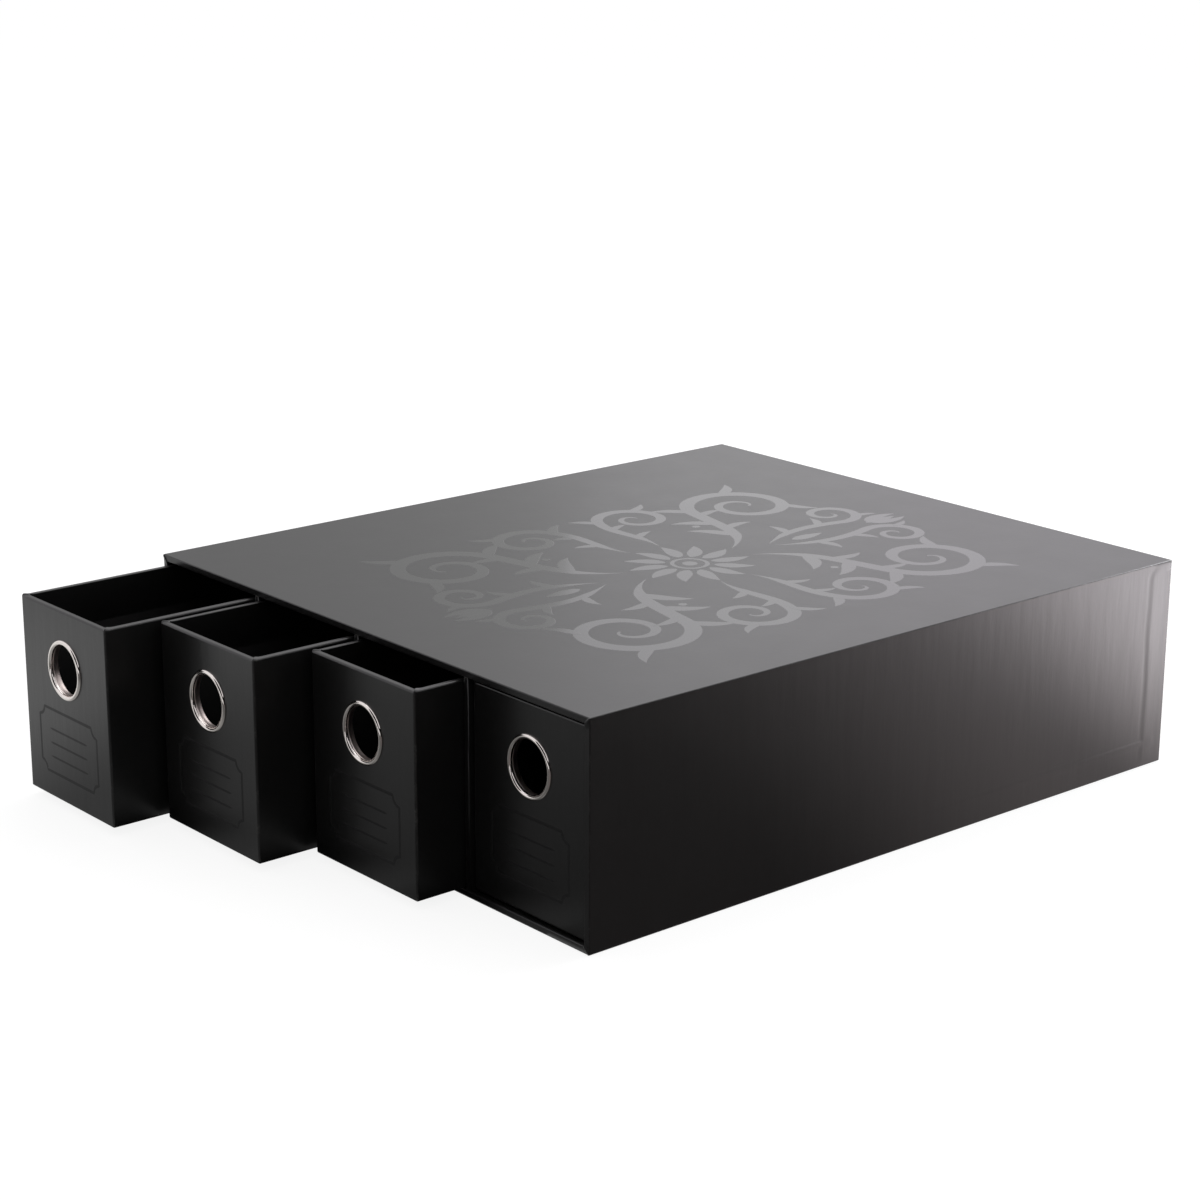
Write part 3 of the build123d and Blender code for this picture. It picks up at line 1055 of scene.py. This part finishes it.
def print_strokes(name, material, strokes, scale, middle, right, up, body):
    """Lays strokes on a face as thin flat ribbons with soft shoulders."""
    out = right.cross(up)
    bm = bmesh.new()
    for order, stroke in enumerate(strokes):
        top = VARNISH - order % VARNISH_LEVELS * VARNISH_STEP
        rows = []
        for i, (u, v, half_width) in enumerate(stroke):
            before, after = stroke[max(i - 1, 0)], stroke[min(i + 1, len(stroke) - 1)]
            if stroke[0] == stroke[-1] and i in (0, len(stroke) - 1):
                before, after = stroke[-2], stroke[1]
            ahead = Vector((after[0] - before[0], after[1] - before[1])).normalized()
            side = right * -ahead.y + up * ahead.x
            place = middle + (right * u + up * v) * scale
            outer = half_width * scale
            inner = outer - min(VARNISH_SHOULDER, outer / 2)
            section = ((-outer, 0), (-inner, top), (inner, top), (outer, 0))
            rows.append([bm.verts.new(place + side * reach + out * level) for reach, level in section])
        for row, following in zip(rows, rows[1:]):
            for a, b in ((0, 1), (1, 2), (2, 3)):
                bm.faces.new((row[a], row[b], following[b], following[a]))
    bmesh.ops.remove_doubles(bm, verts=bm.verts, dist=WELD_DISTANCE)
    bm.normal_update()
    turned = [face for face in bm.faces if face.normal.dot(out) < 0]
    bmesh.ops.reverse_faces(bm, faces=turned)
    make_piece(name, bm, material, body)


def lid_varnish():
    """Scrollwork printed on the lid."""
    middle = Vector((SCROLL_MIDDLE.x, SCROLL_MIDDLE.y, case_walls()[1].z))
    strokes = scrollwork()
    print_strokes("case_lid_varnish", GLOSS_VARNISH, strokes, SCROLL_SCALE, middle, X, Y, "case")


def drawer_label(number):
    """Blank label printed on a drawer's front."""
    middle = ring_middle(number)
    middle.z = LABEL_HEIGHT
    body = f"drawer_{number}"
    print_strokes(f"{body}_label_print", MATT_INK, label(), MM, middle, X, Z, body)


# Finish of the CAD pieces that stay

def finish_boards():
    """Gives the CAD pieces their material: the ones that stay are boards."""
    for piece in frame["nodes"].values():
        piece.data.materials.clear()
        piece.data.materials.append(GREYBOARD)


# Studio

def by_ray(tree, plain, shown):
    """A shader that shows itself to the camera and in reflections, and lights with a plain one."""
    path = node(tree, "LightPath")
    seen = sums(tree, "ADD", path.outputs["Is Camera Ray"], path.outputs["Is Glossy Ray"])
    seen = sums(tree, "ADD", seen, path.outputs["Is Transmission Ray"], clamp=True)
    mixed = node(tree, "MixShader")
    for value, socket in zip((seen, plain, shown), mixed.inputs):
        tree.links.new(value, socket)
    return mixed.outputs[0]


def floor():
    """A pale floor that looks white and keeps the object's shadow."""
    material, tree, output = blank_material("pale_floor")
    matt = node(tree, "BsdfDiffuse")
    feed(tree, matt, Color=grey(FLOOR_TONE))
    part = node(tree, "BsdfDiffuse")
    feed(tree, part, Color=grey(SEEN_FLOOR_TONE))
    glow = node(tree, "Emission")
    feed(tree, glow, Color=grey(1), Strength=FLOOR_GLOW)
    shown = node(tree, "AddShader")
    tree.links.new(part.outputs[0], shown.inputs[0])
    tree.links.new(glow.outputs[0], shown.inputs[1])
    tree.links.new(by_ray(tree, matt.outputs[0], shown.outputs[0]), output.inputs["Surface"])
    bm = bmesh.new()
    bmesh.ops.create_grid(bm, x_segments=1, y_segments=1, size=FLOOR_HALF_SIZE)
    plane = add_object("floor", mesh_from(bm, "floor"))
    plane.data.materials.append(material)


def world():
    """Soft even light, white where it is seen or mirrored."""
    made = bpy.data.worlds.new("studio")
    made.use_nodes = True
    tree = made.node_tree
    tree.nodes.clear()
    light = node(tree, "Background")
    feed(tree, light, Color=grey(1), Strength=SKY_STRENGTH)
    white = node(tree, "Background")
    direct = node(tree, "LightPath").outputs["Is Camera Ray"]
    feed(tree, white, Color=tint(tree, direct, MIRRORED_SKY, grey(1)), Strength=1.0)
    output = node(tree, "OutputWorld")
    tree.links.new(by_ray(tree, light.outputs[0], white.outputs[0]), output.inputs["Surface"])
    made.cycles.sampling_method = "NONE"
    bpy.context.scene.world = made


def reflection_card(name, corners, level=0.0, along=X, rises=(), near=grey(1), far=grey(1)):
    """A card that only reflections see, with rises of (start, end, more light) along a direction."""
    material, tree, output = blank_material(name)
    reach = node(tree, "VectorMath", operation="DOT_PRODUCT")
    tree.links.new(node(tree, "TexCoord").outputs["Object"], reach.inputs[0])
    reach.inputs[1].default_value = along
    for start, end, rise in rises:
        step = node(tree, "MapRange", clamp=True, interpolation_type="SMOOTHSTEP")
        feed(tree, step, Value=reach.outputs["Value"], From_Min=start, From_Max=end, To_Max=rise)
        level = sums(tree, "ADD", level, step.outputs["Result"])
    glow = node(tree, "Emission")
    colour = tint(tree, ramp(tree, reach.outputs["Value"], *TINT_LIMITS), near, far)
    feed(tree, glow, Color=colour, Strength=level)
    tree.links.new(glow.outputs[0], output.inputs["Surface"])
    bm = bmesh.new()
    bm.faces.new([bm.verts.new(corner) for corner in corners])
    card = add_object(name, mesh_from(bm, name))
    card.data.materials.append(material)
    card.visible_camera = card.visible_diffuse = card.visible_shadow = False


def flat_card(name, x_limits, y_limits, lift=CARD_LIFT, **brightness):
    """A reflection card that lies just over the floor."""
    picks = ((0, 0), (1, 0), (1, 1), (0, 1))
    corners = [(x_limits[i], y_limits[j], lift) for i, j in picks]
    reflection_card(name, corners, **brightness)


def upright_card(name, x, y_limits, height, **brightness):
    """A reflection card that stands on the floor across X."""
    front, back = y_limits
    corners = [(x, front, 0), (x, back, 0), (x, back, height), (x, front, height)]
    reflection_card(name, corners, **brightness)


def nook_card(number):
    """Keeps the nook between a drawer and the next one dark in reflections."""
    low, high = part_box(f"drawer_{number}_paper")
    next_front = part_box(f"drawer_{number + 1}_paper")[0].y
    side = high.x
    flat_card(
        f"nook_card_{number}", (side - NOOK_UNDER, side + NOOK_WIDTH), (low.y, next_front), NOOK_LIFT,
        rises=((side + NOOK_RISE[0], side + NOOK_RISE[1], NOOK_LIGHT),),
    )


def softbox(name, place, aim, size, power, colour=(1, 1, 1)):
    """A rectangular area lamp aimed at a point."""
    lamp = bpy.data.lights.new(name, "AREA")
    lamp.shape = "RECTANGLE"
    lamp.size, lamp.size_y = size
    lamp.energy = power
    lamp.color = colour
    holder = add_object(name, lamp)
    holder.visible_camera = False
    holder.location = place
    holder.rotation_mode = "QUATERNION"
    holder.rotation_quaternion = (Vector(aim) - Vector(place)).to_track_quat("-Z", "Y")


def camera():
    """The photograph's camera."""
    lens = bpy.data.cameras.new("camera")
    lens.lens = CAMERA_LENS
    lens.clip_start, lens.clip_end = CAMERA_CLIP
    holder = add_object("camera", lens)
    turned = Matrix.Rotation(math.radians(CAMERA_AZIMUTH), 4, "Z")
    tilted = Matrix.Rotation(math.radians(90 - CAMERA_ELEVATION), 4, "X")
    rolled = Matrix.Rotation(math.radians(CAMERA_ROLL), 4, "Z")
    holder.matrix_world = Matrix.Translation(CAMERA_PLACE) @ turned @ tilted @ rolled
    bpy.context.scene.camera = holder


camera()
world()
floor()
softbox("overhead", place=(-0.4, 0.5, 1.6), aim=(0, 0, 0), size=(1.6, 1.2), power=9)
softbox(
    "behind", place=(0.15, 1.6, 0.5), aim=(0, 0, 0.1), size=(1.2, 0.8), power=25, colour=(0.97, 0.96, 1)
)
softbox(
    "left_behind", place=(-1.3, 1.9, 0.8), aim=(0, 0, 0.1), size=(1.4, 0.6), power=1.15,
    colour=(0.96, 0.92, 1),
)
flat_card(
    "right_card", x_limits=(0.1627, 1.2), y_limits=(-1.2, 1.5), level=0.14, along=Y - 0.6 * X,
    rises=((-0.18, 0.06, 0.85), (0.045, 0.26, 7.6), (0.32, 0.44, -8.59)),
    near=(1, 0.9, 0.9, 1), far=(1, 0.95, 0.99, 1),
)
flat_card(
    "front_card", x_limits=(-0.9, 0.165), y_limits=(-1.2, -0.19), level=0.75, along=X - 0.5 * Y,
    rises=((-0.385, -0.185, 0.25), (-0.135, 0.015, -0.66), (0.015, 0.245, -0.22)),
)
flat_card(
    "far_front_card", x_limits=(-0.9, 0.165), y_limits=(-1.2, -0.45), lift=FAR_CARD_LIFT, level=0.62,
    rises=((-0.3, -0.15, -0.42), (-0.15, 0.08, -0.12)),
)
for number in PARTITIONS:
    nook_card(number)
upright_card("right_flag", x=1.2, y_limits=(-1.2, 1.5), height=0.6)
upright_card(
    "left_flag", x=-2.6, y_limits=(-0.2, 2.8), height=1.6, level=0.58, along=Y,
    rises=((1.3, 2.8, 0.42),),
)
reflection_card(
    "front_flag",
    corners=((-0.35, -1.1, 0.2), (1.2, -1.1, 0.2), (1.2, -1.1, 1.6), (-0.35, -1.1, 1.6)),
)

finish_boards()
case_wrap()
corner_stays()
case_lining()
pasted_sheet("case_base_sheet", "case_base_paper", -Z, BASE_TURN_UNDER)
pasted_sheet("case_back_sheet", "case_back_paper", Y, BACK_TURN_OVER)
for number in PARTITIONS:
    partition_paper(number)
for number in DRAWERS:
    drawer_paper(number)
    for side in DRAWER_BOARDS:
        drawer_board(number, side)
    drawer_lining(number)
    finger_ring(number)
    ring_washer(number)
    drawer_label(number)
lid_varnish()

bpy.context.scene.view_settings.view_transform = "Standard"
